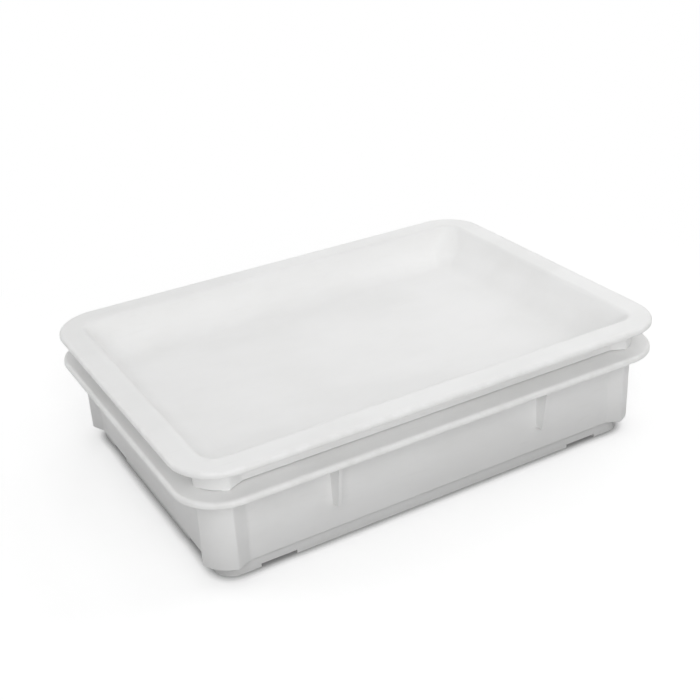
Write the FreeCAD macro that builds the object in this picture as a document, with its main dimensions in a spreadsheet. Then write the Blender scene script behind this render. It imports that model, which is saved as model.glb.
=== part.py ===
import FreeCAD, Part
import Sketcher
import os

# Dough proofing container: a deep moulded box and a shallow tray lid that stacks on its rim
# Millimetres, Z up, long side along X, floor at zero, centre of the base at the origin

doc = FreeCAD.newDocument("doughContainer")
sheet = doc.addObject("Spreadsheet::Sheet", "sizes")

# Driving sizes
driving = [
    ("rimLength", "450"),
    ("rimWidth", "320"),
    ("rimCorner", "40"),
    ("rimSheet", "3"),
    ("lipHeight", "5.5"),
    ("lipWidth", "4"),
    ("edgeRound", "3.2"),
    ("lipBevel", "0.8"),
    ("boxHeight", "85"),
    ("wallInset", "21.3"),
    ("wallSheet", "2.5"),
    ("postInset", "14.5"),
    ("postRound", "30"),
    ("ridgeReach", "36.5"),
    ("rampReach", "49"),
    ("ridgeRound", "3"),
    ("rootRound", "8"),
    ("shoulderBevel", "1.2"),
    ("mouthBevel", "1"),
    ("plinthHeight", "12"),
    ("plinthInsetEnds", "26"),
    ("plinthInsetSides", "25"),
    ("plinthCorner", "16"),
    ("plinthSheet", "3"),
    ("footHeight", "3"),
    ("floorSheet", "2.5"),
    ("floorRound", "6"),
    ("footLength", "58.6"),
    ("notchLength", "31.4"),
    ("gussetPlace", "100"),
    ("gussetTopReach", "12"),
    ("gussetTopRoot", "8.8"),
    ("gussetEndReach", "6"),
    ("gussetEndRoot", "6.8"),
    ("gussetFront", "2.8"),
    ("gussetEnd", "36"),
    ("lidPitch", "26"),
    ("dishInset", "22.5"),
    ("dishCorner", "12"),
    ("dishDepth", "31"),
    ("dishRun", "16"),
    ("dishFloorCorner", "26"),
    ("dishSheet", "2.5"),
    ("dishRound", "29"),
    ("dishEdgeRound", "6"),
    ("seamGap", "0.6"),
    ("seatWidth", "5.5"),
    ("webSheet", "2.5"),
    ("webNear", "60"),
    ("webFar", "150"),
    ("webEnds", "60"),
    ("webReach", "30"),
    ("noseDepth", "10.5"),
    ("noseLead", "2"),
    ("noseFoot", "14"),
    ("mouthClearance", "1.2"),
    ("overrun", "1"),
    ("edgeTolerance", "0.01"),
]

# Sizes that follow from the driving ones
derived = [
    ("rimHalfLength", "=rimLength / 2"),
    ("rimHalfWidth", "=rimWidth / 2"),
    ("rimUnder", "=boxHeight - rimSheet"),
    ("lipUnder", "=boxHeight - lipHeight"),
    ("lipDrop", "=lipHeight - rimSheet"),
    ("lipHalfLength", "=rimHalfLength - lipWidth"),
    ("lipHalfWidth", "=rimHalfWidth - lipWidth"),
    ("lipCorner", "=rimCorner - lipWidth"),
    ("wallHalfLength", "=rimHalfLength - wallInset"),
    ("wallHalfWidth", "=rimHalfWidth - wallInset"),
    ("postCentreLength", "=rimHalfLength - postInset - postRound"),
    ("postCentreWidth", "=rimHalfWidth - postInset - postRound"),
    ("ridgeHalfLength", "=rimHalfLength - ridgeReach"),
    ("ridgeHalfWidth", "=rimHalfWidth - ridgeReach"),
    ("rootHalfLength", "=rimHalfLength - rampReach"),
    ("rootHalfWidth", "=rimHalfWidth - rampReach"),
    ("innerHalfLength", "=wallHalfLength - wallSheet"),
    ("innerHalfWidth", "=wallHalfWidth - wallSheet"),
    ("innerPost", "=postRound - wallSheet"),
    ("wallHeight", "=boxHeight - plinthHeight"),
    ("cavityDepth", "=wallHeight - wallSheet"),
    ("plinthHalfLength", "=rimHalfLength - plinthInsetEnds"),
    ("plinthHalfWidth", "=rimHalfWidth - plinthInsetSides"),
    ("wellHalfLength", "=plinthHalfLength - plinthSheet"),
    ("wellHalfWidth", "=plinthHalfWidth - plinthSheet"),
    ("wellCorner", "=plinthCorner - plinthSheet"),
    ("ledgeLevel", "=plinthHeight + wallSheet"),
    ("wellFloor", "=footHeight + floorSheet"),
    ("wellDepth", "=ledgeLevel - wellFloor"),
    ("notchFarLength", "=rimHalfLength - footLength"),
    ("notchNearLength", "=notchFarLength - notchLength"),
    ("notchFarWidth", "=rimHalfWidth - footLength"),
    ("notchNearWidth", "=notchFarWidth - notchLength"),
    ("gussetTop", "=rimUnder + rimSheet / 2"),
    ("gussetBury", "=wallHalfWidth - wallSheet / 2"),
    ("gussetTopFace", "=wallHalfWidth + gussetTopReach"),
    ("gussetEndFace", "=wallHalfWidth + gussetEndReach"),
    ("gussetTopNear", "=gussetPlace - gussetTopRoot / 2"),
    ("gussetTopFar", "=gussetPlace + gussetTopRoot / 2"),
    ("gussetEndNear", "=gussetPlace - gussetEndRoot / 2"),
    ("gussetEndFar", "=gussetPlace + gussetEndRoot / 2"),
    ("gussetFaceNear", "=gussetPlace - gussetFront / 2"),
    ("gussetFaceFar", "=gussetPlace + gussetFront / 2"),
    ("lidUnder", "=lidPitch - rimSheet"),
    ("lidLipUnder", "=lidPitch - lipHeight"),
    ("dishHalfLength", "=rimHalfLength - dishInset"),
    ("dishHalfWidth", "=rimHalfWidth - dishInset"),
    ("dishFloor", "=lidPitch - dishDepth"),
    ("dishFloorHalfLength", "=dishHalfLength - dishRun"),
    ("dishFloorHalfWidth", "=dishHalfWidth - dishRun"),
    ("dishUnder", "=dishFloor - dishSheet"),
    ("dishTilt", "=atan(dishRun / dishDepth)"),
    ("hullDepth", "=dishDepth + dishSheet"),
    ("hullHalfLength", "=dishHalfLength + dishSheet"),
    ("hullHalfWidth", "=dishHalfWidth + dishSheet"),
    ("hullCorner", "=dishCorner + dishSheet"),
    ("hullRun", "=hullDepth * dishRun / dishDepth"),
    ("hullFloorHalfLength", "=hullHalfLength - hullRun"),
    ("hullFloorHalfWidth", "=hullHalfWidth - hullRun"),
    ("hullFloorCorner", "=dishFloorCorner + dishSheet"),
    ("hullRound", "=dishRound + dishSheet"),
    ("hullTurn", "=45 deg + dishTilt / 2"),
    ("hullBevel", "=hullRound * (1 / sin(hullTurn) - 1) / cos(hullTurn)"),
    ("seatHalfLength", "=ridgeHalfLength + seatWidth"),
    ("seatHalfWidth", "=ridgeHalfWidth + seatWidth"),
    ("pastLength", "=rimHalfLength + overrun"),
    ("pastWidth", "=rimHalfWidth + overrun"),
    ("webBuryWidth", "=wallHalfWidth - wallSheet / 2"),
    ("webBuryLength", "=wallHalfLength - wallSheet / 2"),
    ("noseWidth", "=innerHalfWidth - mouthClearance"),
    ("noseLength", "=innerHalfLength - mouthClearance"),
    ("noseLeadWidth", "=noseWidth - noseLead"),
    ("noseLeadLength", "=noseLength - noseLead"),
    ("webInWidth", "=noseWidth - webReach"),
    ("webInLength", "=noseLength - webReach"),
    ("noseHeelWidth", "=noseWidth - noseFoot"),
    ("noseHeelLength", "=noseLength - noseFoot"),
    ("noseStraight", "=noseDepth - noseLead"),
    ("dishDrop", "=0 - dishUnder"),
    ("webTop", "=lidUnder + rimSheet / 2"),
    ("webNearFace", "=webNear - webSheet / 2"),
    ("webFarFace", "=webFar - webSheet / 2"),
    ("webEndFace", "=webEnds - webSheet / 2"),
]

row = 0
for name, text in driving + derived:
    row = row + 1
    sheet.set("A" + str(row), name)
    sheet.set("B" + str(row), text)
    sheet.setAlias("B" + str(row), name)
doc.recompute()


def size(name):
    return float(getattr(sheet, name))


def vec(x, y):
    return FreeCAD.Vector(x, y, 0)


def plane(body, role):
    return [item for item in body.Origin.OriginFeatures if item.Role == role][0]


def newSketch(body, name, level=None, role="XY_Plane"):
    sketch = body.newObject("Sketcher::SketchObject", name)
    sketch.AttachmentSupport = [(plane(body, role), "")]
    sketch.MapMode = "FlatFace"
    if level:
        sketch.setExpression("AttachmentOffset.Base.z", "sizes." + level)
    return sketch


def bind(sketch, kind, name, *where):
    index = sketch.addConstraint(Sketcher.Constraint(kind, *where, size(name)))
    sketch.setExpression("Constraints[" + str(index) + "]", "sizes." + name)


def pin(sketch, geo, pos, signX, nameX, signY, nameY):
    # A point at signed distances from the two axes
    if nameX:
        ends = (-1, 1, geo, pos) if signX > 0 else (geo, pos, -1, 1)
        bind(sketch, "DistanceX", nameX, *ends)
    if nameY:
        ends = (-1, 1, geo, pos) if signY > 0 else (geo, pos, -1, 1)
        bind(sketch, "DistanceY", nameY, *ends)


def turn(quarters):
    return quarters * FreeCAD.Units.Quantity("90 deg").getValueAs("rad").Value


def roundedFrame(sketch, halfLength, halfWidth, corner):
    # Rounded rectangle about the origin, four arcs and four straights
    a, b, r = size(halfLength), size(halfWidth), size(corner)
    base = sketch.GeometryCount
    up = FreeCAD.Vector(0, 0, 1)
    for q, (sx, sy) in enumerate([(1, -1), (1, 1), (-1, 1), (-1, -1)]):
        circle = Part.Circle(vec(sx * (a - r), sy * (b - r)), up, r)
        sketch.addGeometry(Part.ArcOfCircle(circle, turn(q - 1), turn(q)))
    sketch.addGeometry(Part.LineSegment(vec(a, r - b), vec(a, b - r)))
    sketch.addGeometry(Part.LineSegment(vec(a - r, b), vec(r - a, b)))
    sketch.addGeometry(Part.LineSegment(vec(-a, b - r), vec(-a, r - b)))
    sketch.addGeometry(Part.LineSegment(vec(r - a, -b), vec(a - r, -b)))
    for q in range(4):
        straight = base + 4 + q
        following = base + (q + 1) % 4
        sketch.addConstraint(Sketcher.Constraint("Tangent", base + q, 2, straight, 1))
        sketch.addConstraint(Sketcher.Constraint("Tangent", straight, 2, following, 1))
        kind = "Horizontal" if q % 2 else "Vertical"
        sketch.addConstraint(Sketcher.Constraint(kind, straight))
    for q in range(1, 4):
        sketch.addConstraint(Sketcher.Constraint("Equal", base, base + q))
    bind(sketch, "Radius", corner, base)
    pin(sketch, base + 4, 1, 1, halfLength, 1, None)
    pin(sketch, base + 5, 1, 1, None, 1, halfWidth)
    pin(sketch, base + 6, 1, -1, halfLength, 1, None)
    pin(sketch, base + 7, 1, 1, None, -1, halfWidth)


def postFrame(sketch, halfLength, halfWidth, post):
    # Wall outline with a round column standing proud at each corner
    a, b, r = size(halfLength), size(halfWidth), size(post)
    cx, cy = size("postCentreLength"), size("postCentreWidth")
    rx, ry = size("ridgeHalfLength"), size("ridgeHalfWidth")
    tx, ty = size("rootHalfLength"), size("rootHalfWidth")
    px = cx + (r * r - (ry - cy) ** 2) ** 0.5
    py = cy + (r * r - (rx - cx) ** 2) ** 0.5
    base = sketch.GeometryCount
    up = FreeCAD.Vector(0, 0, 1)
    corners = [(1, -1), (1, 1), (-1, 1), (-1, -1)]
    for q, (sx, sy) in enumerate(corners):
        long = (vec(sx * tx, sy * b), vec(sx * rx, sy * py))
        short = (vec(sx * a, sy * ty), vec(sx * px, sy * ry))
        first, last = (long, short) if q % 2 == 0 else (short, long)
        sketch.addGeometry(Part.LineSegment(first[0], first[1]))
        centre = vec(sx * cx, sy * cy)
        middle = centre + (first[1] + last[1] - centre * 2).normalize() * r
        sketch.addGeometry(Part.Arc(first[1], middle, last[1]))
        sketch.addGeometry(Part.LineSegment(last[1], last[0]))
        nx, ny = corners[(q + 1) % 4]
        onward = vec(nx * a, ny * ty) if q % 2 == 0 else vec(nx * tx, ny * b)
        sketch.addGeometry(Part.LineSegment(last[0], onward))
    for q, (sx, sy) in enumerate(corners):
        ramp, arc, back, wall = [base + 4 * q + k for k in range(4)]
        following = base + 4 * ((q + 1) % 4)
        arcFirst = sketch.Geometry[arc].StartPoint.distanceToPoint(sketch.Geometry[ramp].EndPoint)
        arcLast = sketch.Geometry[arc].EndPoint.distanceToPoint(sketch.Geometry[ramp].EndPoint)
        near, far = (1, 2) if arcFirst < arcLast else (2, 1)
        sketch.addConstraint(Sketcher.Constraint("Coincident", ramp, 2, arc, near))
        sketch.addConstraint(Sketcher.Constraint("Coincident", arc, far, back, 1))
        sketch.addConstraint(Sketcher.Constraint("Coincident", back, 2, wall, 1))
        sketch.addConstraint(Sketcher.Constraint("Coincident", wall, 2, following, 1))
        bind(sketch, "Radius", post, arc)
        pin(sketch, arc, 3, sx, "postCentreLength", sy, "postCentreWidth")
        onLong = (ramp, 1, "rootHalfLength", halfWidth)
        onShort = (back, 2, halfLength, "rootHalfWidth")
        if q % 2:
            onLong = (back, 2, "rootHalfLength", halfWidth)
            onShort = (ramp, 1, halfLength, "rootHalfWidth")
        for geo, pos, nameX, nameY in (onLong, onShort):
            pin(sketch, geo, pos, sx, nameX, sy, nameY)
        if q % 2:
            pin(sketch, ramp, 2, sx, None, sy, "ridgeHalfWidth")
            pin(sketch, back, 1, sx, "ridgeHalfLength", sy, None)
        else:
            pin(sketch, ramp, 2, sx, "ridgeHalfLength", sy, None)
            pin(sketch, back, 1, sx, None, sy, "ridgeHalfWidth")


def cornerSpandrel(sketch, halfLength, halfWidth, corner):
    # What is left between a square corner and its rounding
    a, b, r = size(halfLength), size(halfWidth), size(corner)
    up = FreeCAD.Vector(0, 0, 1)
    sketch.addGeometry(Part.LineSegment(vec(a - r, b), vec(a, b)))
    sketch.addGeometry(Part.LineSegment(vec(a, b), vec(a, b - r)))
    sketch.addGeometry(Part.ArcOfCircle(Part.Circle(vec(a - r, b - r), up, r), turn(0), turn(1)))
    sketch.addConstraint(Sketcher.Constraint("Coincident", 0, 2, 1, 1))
    sketch.addConstraint(Sketcher.Constraint("Horizontal", 0))
    sketch.addConstraint(Sketcher.Constraint("Vertical", 1))
    sketch.addConstraint(Sketcher.Constraint("Tangent", 1, 2, 2, 1))
    sketch.addConstraint(Sketcher.Constraint("Tangent", 2, 2, 0, 1))
    bind(sketch, "Radius", corner, 2)
    pin(sketch, 0, 2, 1, halfLength, 1, halfWidth)


def polygon(sketch, points):
    # Closed straight-sided outline, each point as sign, size, sign, size
    base = sketch.GeometryCount
    spots = []
    for signX, nameX, signY, nameY in points:
        x = signX * size(nameX) if nameX else 0
        y = signY * size(nameY) if nameY else 0
        spots.append(vec(x, y))
    count = len(points)
    for k in range(count):
        sketch.addGeometry(Part.LineSegment(spots[k], spots[(k + 1) % count]))
    for k, (signX, nameX, signY, nameY) in enumerate(points):
        following = base + (k + 1) % count
        sketch.addConstraint(Sketcher.Constraint("Coincident", base + k, 2, following, 1))
        pin(sketch, base + k, 1, signX, nameX, signY, nameY)
        if not nameX:
            sketch.addConstraint(Sketcher.Constraint("PointOnObject", base + k, 1, -2))
        if not nameY:
            sketch.addConstraint(Sketcher.Constraint("PointOnObject", base + k, 1, -1))


def rectangle(sketch, signX, nearX, farX, signY, nearY, farY, crossX=1, crossY=1):
    points = [(signX * crossX, nearX, signY * crossY, nearY), (signX, farX, signY * crossY, nearY)]
    points = points + [(signX, farX, signY, farY), (signX * crossX, nearX, signY, farY)]
    polygon(sketch, points)


def pad(body, sketch, name, length, up=True):
    feature = body.newObject("PartDesign::Pad", name)
    feature.Profile = sketch
    feature.setExpression("Length", "sizes." + length)
    feature.Reversed = not up
    doc.recompute()
    return feature


def pocket(body, sketch, name, depth, down=True):
    before = body.Shape.Volume
    feature = body.newObject("PartDesign::Pocket", name)
    feature.Profile = sketch
    feature.setExpression("Length", "sizes." + depth)
    feature.Reversed = not down
    doc.recompute()
    if body.Shape.Volume >= before:
        raise RuntimeError("nothing was cut: " + name)
    return feature


def loft(body, kind, name, first, last):
    feature = body.newObject("PartDesign::" + kind, name)
    feature.Profile = first
    feature.Sections = [last]
    feature.Ruled = True
    doc.recompute()
    return feature


def edgesOf(feature, test):
    found = []
    for k, edge in enumerate(feature.Shape.Edges):
        if test(edge):
            found.append("Edge" + str(k + 1))
    return found


def fillet(body, base, name, edges, radius):
    feature = body.newObject("PartDesign::Fillet", name)
    feature.Base = (base, edges)
    feature.setExpression("Radius", "sizes." + radius)
    doc.recompute()
    return feature


def bevel(body, base, name, edges, width):
    feature = body.newObject("PartDesign::Chamfer", name)
    feature.Base = (base, edges)
    feature.setExpression("Size", "sizes." + width)
    doc.recompute()
    return feature


def join(body, name, tool, kind):
    feature = body.newObject("PartDesign::Boolean", name)
    feature.setObjects([tool])
    feature.Type = kind
    doc.recompute()
    return feature


def atLevel(name):
    # Edges that lie flat at one height
    level = size(name)
    slack = size("edgeTolerance")

    def test(edge):
        bounds = edge.BoundBox
        return abs(bounds.ZMin - level) < slack and abs(bounds.ZMax - level) < slack
    return test


def upright(lengthName, widthName):
    # Vertical edges that stand at the given distances from both centre planes
    slack = size("edgeTolerance")

    def test(edge):
        bounds = edge.BoundBox
        if max(bounds.XLength, bounds.YLength) > slack or bounds.ZLength < slack:
            return False
        spot = edge.Vertexes[0].Point
        fitX = lengthName is None or abs(abs(spot.x) - size(lengthName)) < slack
        fitY = widthName is None or abs(abs(spot.y) - size(widthName)) < slack
        return fitX and fitY
    return test


def postEdges(feature, halfLength, halfWidth):
    # The ramp roots and the ridges of the corner columns
    roots = edgesOf(feature, upright("rootHalfLength", halfWidth))
    roots = roots + edgesOf(feature, upright(halfLength, "rootHalfWidth"))
    ridges = edgesOf(feature, upright("ridgeHalfLength", None))
    ridges = ridges + edgesOf(feature, upright(None, "ridgeHalfWidth"))
    return roots, ridges


def rimOuter(edge):
    # Edges that run around the outside of the rim
    bounds = edge.BoundBox
    reachX = max(abs(bounds.XMax), abs(bounds.XMin))
    reachY = max(abs(bounds.YMax), abs(bounds.YMin))
    return reachX > size("lipHalfLength") or reachY > size("lipHalfWidth")


def levelEdges(feature, level, outer):
    flat = atLevel(level)
    return edgesOf(feature, lambda edge: flat(edge) and rimOuter(edge) == outer)


def softenRim(body, feature, top, under, name):
    feature = fillet(body, feature, name + "EdgeRound", levelEdges(feature, top, True), "edgeRound")
    return bevel(body, feature, name + "LipBevel", levelEdges(feature, under, True), "lipBevel")


def mirrored(body, name, originals):
    # Copies across both centre planes
    feature = body.newObject("PartDesign::MultiTransform", name)
    steps = []
    for label, role in (("AcrossLength", "YZ_Plane"), ("AcrossWidth", "XZ_Plane")):
        step = doc.addObject("PartDesign::Mirrored", name + label)
        step.MirrorPlane = (plane(body, role), [""])
        steps.append(step)
    feature.Originals = originals
    feature.Transformations = steps
    body.Tip = feature
    doc.recompute()
    return feature


# The box
box = doc.addObject("PartDesign::Body", "DoughBox")
box.Label = "dough_box"

wallSketch = newSketch(box, "WallOutline", "plinthHeight")
postFrame(wallSketch, "wallHalfLength", "wallHalfWidth", "postRound")
wall = pad(box, wallSketch, "Wall", "wallHeight")
roots, ridges = postEdges(wall, "wallHalfLength", "wallHalfWidth")
wall = fillet(box, wall, "RampRoots", roots, "rootRound")
roots, ridges = postEdges(wall, "wallHalfLength", "wallHalfWidth")
wall = fillet(box, wall, "PostRidges", ridges, "ridgeRound")
wall = bevel(box, wall, "Shoulder", edgesOf(wall, atLevel("plinthHeight")), "shoulderBevel")

plinthSketch = newSketch(box, "PlinthOutline")
roundedFrame(plinthSketch, "plinthHalfLength", "plinthHalfWidth", "plinthCorner")
pad(box, plinthSketch, "Plinth", "plinthHeight")

rimSketch = newSketch(box, "RimOutline", "boxHeight")
roundedFrame(rimSketch, "rimHalfLength", "rimHalfWidth", "rimCorner")
pad(box, rimSketch, "Rim", "rimSheet", up=False)

lipSketch = newSketch(box, "LipOutline", "rimUnder")
roundedFrame(lipSketch, "rimHalfLength", "rimHalfWidth", "rimCorner")
roundedFrame(lipSketch, "lipHalfLength", "lipHalfWidth", "lipCorner")
pad(box, lipSketch, "RimLip", "lipDrop", up=False)

cavitySketch = newSketch(box, "CavityOutline", "boxHeight")
postFrame(cavitySketch, "innerHalfLength", "innerHalfWidth", "innerPost")
pocket(box, cavitySketch, "Cavity", "cavityDepth")

wellSketch = newSketch(box, "WellOutline", "ledgeLevel")
roundedFrame(wellSketch, "wellHalfLength", "wellHalfWidth", "wellCorner")
well = pocket(box, wellSketch, "Well", "wellDepth")
fillet(box, well, "FloorRound", edgesOf(well, atLevel("wellFloor")), "floorRound")

footSketch = newSketch(box, "FootRing")
roundedFrame(footSketch, "wellHalfLength", "wellHalfWidth", "wellCorner")
pocket(box, footSketch, "UnderFloor", "footHeight", down=False)

sideNotch = newSketch(box, "SideNotches")
for side in (-1, 1):
    rectangle(sideNotch, side, "notchNearLength", "notchFarLength", 1, "pastWidth", "pastWidth", 1, -1)
pocket(box, sideNotch, "SideGaps", "footHeight", down=False)
endNotch = newSketch(box, "EndNotches")
for side in (-1, 1):
    rectangle(endNotch, 1, "pastLength", "pastLength", side, "notchNearWidth", "notchFarWidth", -1, 1)
pocket(box, endNotch, "EndGaps", "footHeight", down=False)


def gussetSection(name, level, near, far, face):
    # Wedge across the wall, broad at the root and narrow at its free edge
    sketch = newSketch(box, name, level)
    points = [(1, near, -1, "gussetBury"), (1, far, -1, "gussetBury")]
    points = points + [(1, "gussetFaceFar", -1, face), (1, "gussetFaceNear", -1, face)]
    polygon(sketch, points)
    return sketch


gussetHead = gussetSection("GussetHead", "gussetTop", "gussetTopNear", "gussetTopFar", "gussetTopFace")
gussetTail = gussetSection("GussetTail", "gussetEnd", "gussetEndNear", "gussetEndFar", "gussetEndFace")
gusset = loft(box, "AdditiveLoft", "Gusset", gussetHead, gussetTail)
boxShape = mirrored(box, "Gussets", [gusset])
boxShape = softenRim(box, boxShape, "boxHeight", "lipUnder", "Rim")
bevel(box, boxShape, "MouthEdge", levelEdges(boxShape, "boxHeight", False), "mouthBevel")

# The lid, drawn about its seat plane and set on the rim of the box
lid = doc.addObject("PartDesign::Body", "Lid")
lid.Label = "lid"
lid.setExpression("Placement.Base.z", "sizes.boxHeight")

skirtSketch = newSketch(lid, "SkirtOutline")
postFrame(skirtSketch, "wallHalfLength", "wallHalfWidth", "postRound")
skirt = pad(lid, skirtSketch, "Skirt", "lidUnder")
roots, ridges = postEdges(skirt, "wallHalfLength", "wallHalfWidth")
skirt = fillet(lid, skirt, "SkirtRoots", roots, "rootRound")
roots, ridges = postEdges(skirt, "wallHalfLength", "wallHalfWidth")
fillet(lid, skirt, "SkirtRidges", ridges, "ridgeRound")
hollowSketch = newSketch(lid, "SkirtHollow")
postFrame(hollowSketch, "innerHalfLength", "innerHalfWidth", "innerPost")
pocket(lid, hollowSketch, "Hollow", "lidUnder", down=False)

# The skirt stands on two short seats at each corner, the rest clears the rim by a thin seam
sideSeam = newSketch(lid, "SideSeam")
rectangle(sideSeam, 1, "ridgeHalfLength", "ridgeHalfLength", 1, "pastWidth", "pastWidth", -1, -1)
pocket(lid, sideSeam, "SideRelief", "seamGap", down=False)
endSeam = newSketch(lid, "EndSeam")
rectangle(endSeam, 1, "pastLength", "pastLength", 1, "ridgeHalfWidth", "ridgeHalfWidth", -1, -1)
pocket(lid, endSeam, "EndRelief", "seamGap", down=False)
cornerSeam = newSketch(lid, "CornerSeam")
for signX in (-1, 1):
    for signY in (-1, 1):
        rectangle(cornerSeam, signX, "seatHalfLength", "pastLength", signY, "seatHalfWidth", "pastWidth")
pocket(lid, cornerSeam, "CornerRelief", "seamGap", down=False)

lidRimSketch = newSketch(lid, "LidRimOutline", "lidPitch")
roundedFrame(lidRimSketch, "rimHalfLength", "rimHalfWidth", "rimCorner")
pad(lid, lidRimSketch, "LidRim", "rimSheet", up=False)
lidLipSketch = newSketch(lid, "LidLipOutline", "lidUnder")
roundedFrame(lidLipSketch, "rimHalfLength", "rimHalfWidth", "rimCorner")
roundedFrame(lidLipSketch, "lipHalfLength", "lipHalfWidth", "lipCorner")
pad(lid, lidLipSketch, "LidLip", "lipDrop", up=False)


def dishBlock(name, depth, floor):
    # A block with sloping flat sides whose corners open out from tight at the top to broad at the floor
    body = doc.addObject("PartDesign::Body", name.capitalize() + "Form")
    outline = newSketch(body, name + "Outline", "lidPitch")
    across, along = name + "HalfLength", name + "HalfWidth"
    rectangle(outline, 1, across, across, 1, along, along, -1, -1)
    block = pad(body, outline, name + "Block", depth, up=False)
    sides = []
    for k, face in enumerate(block.Shape.Faces):
        if face.normalAt(0, 0).z > 0:
            head = "Face" + str(k + 1)
        elif face.normalAt(0, 0).z == 0:
            sides.append("Face" + str(k + 1))
    slope = body.newObject("PartDesign::Draft", name + "Slope")
    slope.Base = (block, sides)
    slope.NeutralPlane = (block, [head])
    slope.setExpression("Angle", "sizes.dishTilt")
    slope.Reversed = True
    upper = newSketch(body, name + "CornerTop", "lidPitch")
    cornerSpandrel(upper, name + "HalfLength", name + "HalfWidth", name + "Corner")
    lower = newSketch(body, name + "CornerFloor", floor)
    cornerSpandrel(lower, name + "FloorHalfLength", name + "FloorHalfWidth", name + "FloorCorner")
    corner = loft(body, "SubtractiveLoft", name + "CornerCut", upper, lower)
    return body, mirrored(body, name + "Corners", [corner])


# The dish hangs inside the skirt as a second, sloping sheet: its underside is a block joined to the lid
hullForm, hull = dishBlock("hull", "hullDepth", "dishUnder")
bevel(hullForm, hull, "HullBevel", edgesOf(hull, atLevel("dishUnder")), "hullBevel")
join(lid, "HullJoin", hullForm, "Fuse")


def web(name, role, level, bury, nose, lead, heel, inner):
    # A stiffening web from skirt to dish, with a nose that finds the mouth of the box
    sketch = newSketch(lid, name + "Outline", level, role)
    points = [(-1, bury, 1, "webTop"), (-1, bury, 1, "seamGap"), (-1, nose, 1, "seamGap")]
    points = points + [(-1, nose, -1, "noseStraight"), (-1, lead, -1, "noseDepth")]
    points = points + [(-1, heel, -1, "noseDepth"), (-1, inner, -1, "dishDrop"), (-1, inner, 1, None)]
    polygon(sketch, points)
    return pad(lid, sketch, name, "webSheet")


longWeb = ("webBuryWidth", "noseWidth", "noseLeadWidth", "noseHeelWidth", "webInWidth")
shortWeb = ("webBuryLength", "noseLength", "noseLeadLength", "noseHeelLength", "webInLength")
nearWeb = web("NearWeb", "YZ_Plane", "webNearFace", *longWeb)
farWeb = web("FarWeb", "YZ_Plane", "webFarFace", *longWeb)
endWeb = web("EndWeb", "XZ_Plane", "webEndFace", *shortWeb)
mirrored(lid, "Webs", [nearWeb, farWeb, endWeb])

# The hollow of the dish is a second block, taken out of the lid and of what reaches into it
dishForm, dish = dishBlock("dish", "dishDepth", "dishFloor")
fillet(dishForm, dish, "DishRound", edgesOf(dish, atLevel("dishFloor")), "dishRound")
lidShape = join(lid, "DishCut", dishForm, "Cut")
lidShape = softenRim(lid, lidShape, "lidPitch", "lidLipUnder", "LidRim")
fillet(lid, lidShape, "DishEdge", levelEdges(lidShape, "lidPitch", False), "dishEdgeRound")
doc.recompute()

# Every feature and both finished pieces are sound before anything is written
for item in doc.Objects:
    if "Invalid" in item.State or "Error" in item.State:
        raise RuntimeError("feature failed: " + item.Name)
os.makedirs("parts", exist_ok=True)
for body in (box, lid):
    if body.Shape.isNull() or not body.Shape.isValid() or len(body.Shape.Solids) != 1:
        raise RuntimeError("piece is not one sound solid: " + body.Label)
    body.Shape.exportStep("parts/" + body.Label + ".step")
    print(body.Label, round(body.Shape.Volume), "cubic mm", len(body.Shape.Faces), "faces")
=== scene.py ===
import math

import bmesh
import bpy
from mathutils import Matrix, Vector


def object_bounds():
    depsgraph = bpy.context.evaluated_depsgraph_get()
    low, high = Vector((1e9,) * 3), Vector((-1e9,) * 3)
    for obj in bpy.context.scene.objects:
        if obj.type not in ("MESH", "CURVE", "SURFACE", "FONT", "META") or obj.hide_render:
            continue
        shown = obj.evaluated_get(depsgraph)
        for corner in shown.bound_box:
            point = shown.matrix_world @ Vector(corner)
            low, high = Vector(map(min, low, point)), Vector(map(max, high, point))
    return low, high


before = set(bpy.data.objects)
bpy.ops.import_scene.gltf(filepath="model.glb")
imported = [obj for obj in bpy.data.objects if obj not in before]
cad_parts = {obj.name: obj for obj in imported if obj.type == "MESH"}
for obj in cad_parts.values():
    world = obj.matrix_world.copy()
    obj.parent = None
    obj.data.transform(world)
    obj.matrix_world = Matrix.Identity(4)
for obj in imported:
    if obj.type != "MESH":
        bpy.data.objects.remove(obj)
cadLow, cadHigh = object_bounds()
print("frame loaded:", ", ".join(sorted(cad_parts)))


# A socket that takes part in Python sums: each operator adds one Math node
class Wire:
    def __init__(self, sheet, socket):
        self.sheet = sheet
        self.socket = socket

    def combine(self, operation, first, second):
        return self.sheet.add("ShaderNodeMath", {"operation": operation}, {0: first, 1: second})

    def __add__(self, other):
        return self.combine("ADD", self, other)

    def __radd__(self, other):
        return self.combine("ADD", other, self)

    def __sub__(self, other):
        return self.combine("SUBTRACT", self, other)

    def __rsub__(self, other):
        return self.combine("SUBTRACT", other, self)

    def __mul__(self, other):
        return self.combine("MULTIPLY", self, other)

    def __rmul__(self, other):
        return self.combine("MULTIPLY", other, self)


# The node tree of one material or of the world
class Sheet:
    def __init__(self, owner):
        owner.use_nodes = True
        self.tree = owner.node_tree
        self.tree.nodes.clear()

    def add(self, kind, settings=None, sockets=None, output=0):
        node = self.tree.nodes.new(kind)
        for name, value in (settings or {}).items():
            setattr(node, name, value)
        for name, value in (sockets or {}).items():
            if isinstance(value, Wire):
                self.tree.links.new(value.socket, node.inputs[name])
            else:
                node.inputs[name].default_value = value
        if node.outputs:  # the node that ends a tree has none
            return Wire(self, node.outputs[output])

    def vector(self, operation, first, second=(0, 0, 0), output=0):
        return self.add("ShaderNodeVectorMath", {"operation": operation},
                        {0: first, 1: second}, output)

    def blend(self, share, first, second):
        return self.add("ShaderNodeMix", {"data_type": "RGBA"},
                        {0: share, 6: first, 7: second}, 2)


def greyColour(level):
    return (level, level, level, 1)


def objectPlace(sheet):
    return sheet.add("ShaderNodeTexCoord", output="Object")


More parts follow.
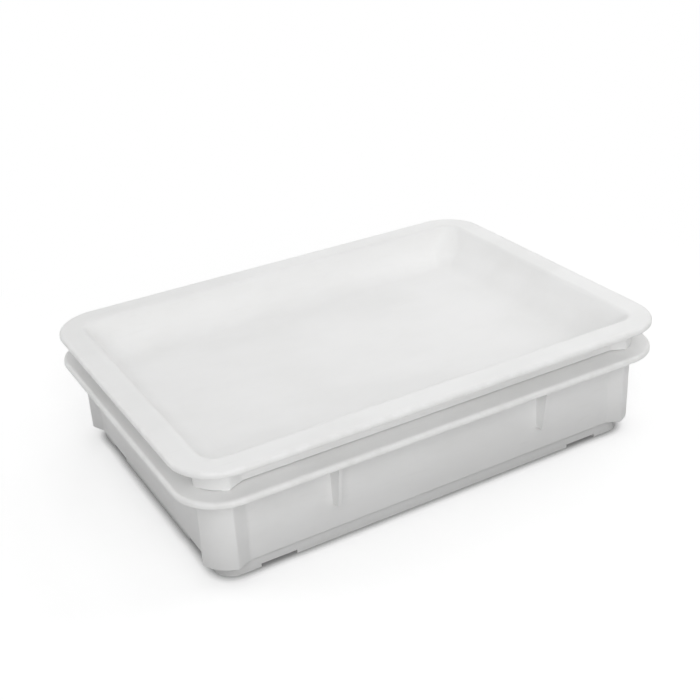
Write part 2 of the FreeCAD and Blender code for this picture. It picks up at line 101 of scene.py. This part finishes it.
# Zero below the span, one above it, smooth within it
def rise(sheet, value, span):
    return sheet.add("ShaderNodeMapRange", {"interpolation_type": "SMOOTHSTEP"},
                     {"Value": value, "From Min": span[0], "From Max": span[1]})


def clouds(sheet, place, mark):
    drawn = sheet.vector("MULTIPLY", place, mark.get("stretch", (1, 1, 1)))
    return sheet.add("ShaderNodeTexNoise", {},
                     {"Vector": drawn, "Scale": mark["scale"], "Detail": mark["detail"]})


def patches(sheet, place, mark):
    return rise(sheet, clouds(sheet, place, mark), mark["span"])


# The rim's rounded outline from above, and how far a point lies outside it: negative inside
rimOutline = {"half": (0.225, 0.16), "corner": 0.04}


def rimReach(sheet, place):
    corner = rimOutline["corner"]
    inner = [side - corner for side in rimOutline["half"]] + [0]
    past = sheet.vector("SUBTRACT", sheet.vector("ABSOLUTE", place), inner)
    past = sheet.vector("MULTIPLY", sheet.vector("MAXIMUM", past), (1, 1, 0))
    return sheet.vector("LENGTH", past, output=1) - corner


# What the mould, the melt and use leave on both pieces: scale counts patches in a metre,
# tint is a share of the scuff colour, rough adds to the roughness and relief to the bump
plasticMarks = {
    "grain": {"scale": 1500.0, "detail": 2.0, "relief": 3.0},  # eroded into the mould
    "waves": {"scale": 24.0, "detail": 2.0, "relief": 2.5},  # sunk in cooling
    "melt": {"scale": 11.0, "detail": 4.0, "stretch": (1, 1.6, 2), "span": (0.35, 0.7),
             "rough": 0.05},
    "rubs": {"scale": 40.0, "detail": 5.0, "stretch": (1, 14, 6), "span": (0.58, 0.75),
             "tint": 0.12, "rough": 0.08, "relief": -0.6},
    "edge": {"span": (-0.0035, -0.0005), "rough": -0.08},  # polished by hands
    "worn": {"scale": 90.0, "detail": 3.0, "span": (0.35, 0.65), "tint": 0.3},
    "foot": {"span": (0.0002, 0.0016)},  # height above the seat
    "scuff": {"scale": 130.0, "detail": 4.0, "span": (0.3, 0.7), "tint": 0.6, "rough": 0.2},
}
plasticBase = {"rough": 0.45, "bumpHeight": 0.00004, "ior": 1.49}

# The seat is the level that the piece stands on: the lid's is put out of reach
boxFinish = {"name": "BoxPlastic", "slot": "box_plastic", "colour": (0.86, 0.86, 0.855, 1),
             "cloud": (0.822, 0.822, 0.815, 1), "scuff": (0.7, 0.695, 0.68, 1), "seat": 0.0}
lidFinish = {"name": "LidPlastic", "slot": "lid_plastic", "colour": (0.88, 0.88, 0.876, 1),
             "cloud": (0.853, 0.853, 0.847, 1), "scuff": (0.74, 0.735, 0.72, 1), "seat": -1.0}


def mouldedPlastic(finish):
    material = bpy.data.materials.new(finish["name"])
    sheet = Sheet(material)
    place = objectPlace(sheet)
    height = sheet.add("ShaderNodeSeparateXYZ", {}, {0: place}, "Z")
    shares = {name: clouds(sheet, place, plasticMarks[name]) for name in ("grain", "waves")}
    for name in ("melt", "rubs", "worn", "scuff"):
        shares[name] = patches(sheet, place, plasticMarks[name])
    shares["edge"] = rise(sheet, rimReach(sheet, place), plasticMarks["edge"]["span"])
    shares["worn"] *= shares["edge"]
    shares["scuff"] *= 1 - rise(sheet, height - finish["seat"], plasticMarks["foot"]["span"])

    def total(effect):
        return sum(shares[name] * mark[effect] for name, mark in plasticMarks.items()
                   if effect in mark)

    clouded = sheet.blend(shares["melt"], finish["colour"], finish["cloud"])
    bump = sheet.add("ShaderNodeBump", {}, {
        "Strength": 1.0, "Distance": plasticBase["bumpHeight"], "Height": total("relief")})
    shader = sheet.add("ShaderNodeBsdfPrincipled", {}, {
        "Base Color": sheet.blend(total("tint"), clouded, finish["scuff"]),
        "Roughness": total("rough") + plasticBase["rough"],
        "Normal": bump, "IOR": plasticBase["ior"]})
    sheet.add("ShaderNodeOutputMaterial", {}, {"Surface": shader})
    return material


def dress(node, finish):
    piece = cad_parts[node]
    piece.data.materials.clear()
    piece.data.materials.append(mouldedPlastic(finish))


dress("dough_box", boxFinish)
dress("lid", lidFinish)
print("plastic on the box and the lid")

# The floor is white to the eye and keeps the object's shadow, which ends within fade;
# the light it throws back up is a painted glow, with painted shade near the object that gives
# way within edge; both are metres outside the rim's outline.
# Where the object stands, a painted contact shadow darkens the floor over contactReach metres
floorSetup = {"half": 6.0, "shadow": 0.75, "glow": 0.43, "fade": (0.08, 0.35),
              "nearGlow": 0.03, "farGlow": 0.62, "edge": (-0.02, 0.12),
              "paintedContactShadow": 0.75, "contactReach": 0.009, "contactSpan": (0.5, 1.0),
              "contactRays": 8}
worldSetup = {"level": 0.05}


def seenDirectly(sheet):
    camera, glossy, through = [
        sheet.add("ShaderNodeLightPath", output=kind)
        for kind in ("Is Camera Ray", "Is Glossy Ray", "Is Transmission Ray")]
    return camera + glossy + through


def floorWhite(setup):
    material = bpy.data.materials.new("FloorWhite")
    sheet = Sheet(material)
    reach = rimReach(sheet, objectPlace(sheet))
    # Painted bounce light: the floor glows for the rays it passes on, dim near the rim as
    # painted shade and bright farther out
    paintedBounceTone = sheet.blend(rise(sheet, reach, setup["edge"]),
                       greyColour(setup["nearGlow"]), greyColour(setup["farGlow"]))
    paintedBounceGlow = sheet.add("ShaderNodeEmission", {}, {"Color": paintedBounceTone})
    matt = sheet.add("ShaderNodeBsdfDiffuse", {}, {"Color": greyColour(setup["shadow"])})
    glow = sheet.add("ShaderNodeEmission", {}, {"Color": greyColour(setup["glow"])})
    shaded = sheet.add("ShaderNodeAddShader", {}, {0: matt, 1: glow})
    plain = sheet.add("ShaderNodeEmission", {}, {"Color": greyColour(1)})
    fade = rise(sheet, reach, setup["fade"])
    airy = sheet.add("ShaderNodeMixShader", {}, {0: fade, 1: shaded, 2: plain})
    # Painted contact shadow: where ambient occlusion finds the object near, the floor seen by
    # the eye is mixed toward black
    clear = sheet.add("ShaderNodeAmbientOcclusion", {"samples": setup["contactRays"]},
                      {"Distance": setup["contactReach"]}, "AO")
    paintedContactShadow = sheet.add("ShaderNodeMapRange", {}, {
        "Value": clear, "From Min": setup["contactSpan"][0],
        "From Max": setup["contactSpan"][1], "To Min": setup["paintedContactShadow"], "To Max": 0.0})
    paintedShadowBlack = sheet.add("ShaderNodeEmission", {}, {"Color": greyColour(0)})
    shown = sheet.add("ShaderNodeMixShader", {}, {0: paintedContactShadow, 1: airy, 2: paintedShadowBlack})
    both = sheet.add("ShaderNodeMixShader", {}, {0: seenDirectly(sheet), 1: paintedBounceGlow, 2: shown})
    sheet.add("ShaderNodeOutputMaterial", {}, {"Surface": both})
    return material


def makeFloor(setup):
    shape = bmesh.new()
    bmesh.ops.create_grid(shape, x_segments=1, y_segments=1, size=setup["half"])
    mesh = bpy.data.meshes.new("Floor")
    shape.to_mesh(mesh)
    shape.free()
    floor = bpy.data.objects.new("Floor", mesh)
    bpy.context.scene.collection.objects.link(floor)
    mesh.materials.append(floorWhite(setup))


def makeWorld(setup):
    world = bpy.data.worlds.new("Studio")
    bpy.context.scene.world = world
    sheet = Sheet(world)
    seen = seenDirectly(sheet)
    sky = sheet.add("ShaderNodeBackground", {}, {
        "Color": greyColour(1), "Strength": seen.combine("MAXIMUM", seen, setup["level"])})
    sheet.add("ShaderNodeOutputWorld", {}, {"Surface": sky})


makeFloor(floorSetup)
makeWorld(worldSetup)

# Soft boxes: place, width and power in watts; all face the middle of the object
lampSetups = [
    {"name": "FrontLamp", "place": (0.0, -1.7, 1.1), "size": 1.8, "power": 9.5},
    {"name": "CameraLamp", "place": (-0.9, -1.6, 1.0), "size": 1.6, "power": 17.5},
    {"name": "TopLamp", "place": (0.0, 0.0, 2.0), "size": 1.6, "power": 7.5},
    {"name": "RightLamp", "place": (1.7, 0.0, 1.0), "size": 1.4, "power": 2.0},
    {"name": "NearRightLamp", "place": (0.75, -0.25, 0.8), "size": 0.6, "power": 1.7},
    {"name": "BackLeftLamp", "place": (-1.2, 1.2, 1.2), "size": 1.8, "power": 14.4},
    {"name": "BackRightLamp", "place": (1.2, 1.2, 1.2), "size": 1.8, "power": 9.0},
]
lampTarget = Vector((0.0, 0.0, (cadLow.z + cadHigh.z) / 2))


def makeLamp(setup):
    light = bpy.data.lights.new(setup["name"], "AREA")
    light.shape = "SQUARE"
    light.size = setup["size"]
    light.energy = setup["power"]
    lamp = bpy.data.objects.new(setup["name"], light)
    lamp.location = setup["place"]
    lamp.rotation_euler = (lampTarget - lamp.location).to_track_quat("-Z", "Y").to_euler()
    bpy.context.scene.collection.objects.link(lamp)


for lampSetup in lampSetups:
    makeLamp(lampSetup)
print("floor, world and lamps set")

# The camera stands in front to the left and looks down on the lid: degrees and millimetres
cameraSetup = {"place": (-0.4504, -0.8009, 0.5547), "pan": 29.18, "tilt": -27.26,
               "roll": -3.01, "lens": 59.62, "sensor": 36}


def makeCamera(setup):
    pan = Matrix.Rotation(-math.radians(setup["pan"]), 3, "Z")
    tilt = Matrix.Rotation(math.radians(90 + setup["tilt"]), 3, "X")
    roll = Matrix.Rotation(math.radians(setup["roll"]), 3, "Z")
    data = bpy.data.cameras.new("Camera")
    data.lens = setup["lens"]
    data.sensor_width = setup["sensor"]
    camera = bpy.data.objects.new("Camera", data)
    camera.location = setup["place"]
    camera.rotation_euler = (pan @ tilt @ roll).to_euler()
    bpy.context.scene.collection.objects.link(camera)
    bpy.context.scene.camera = camera


makeCamera(cameraSetup)
bpy.context.scene.view_settings.view_transform = "Standard"
print("camera set")
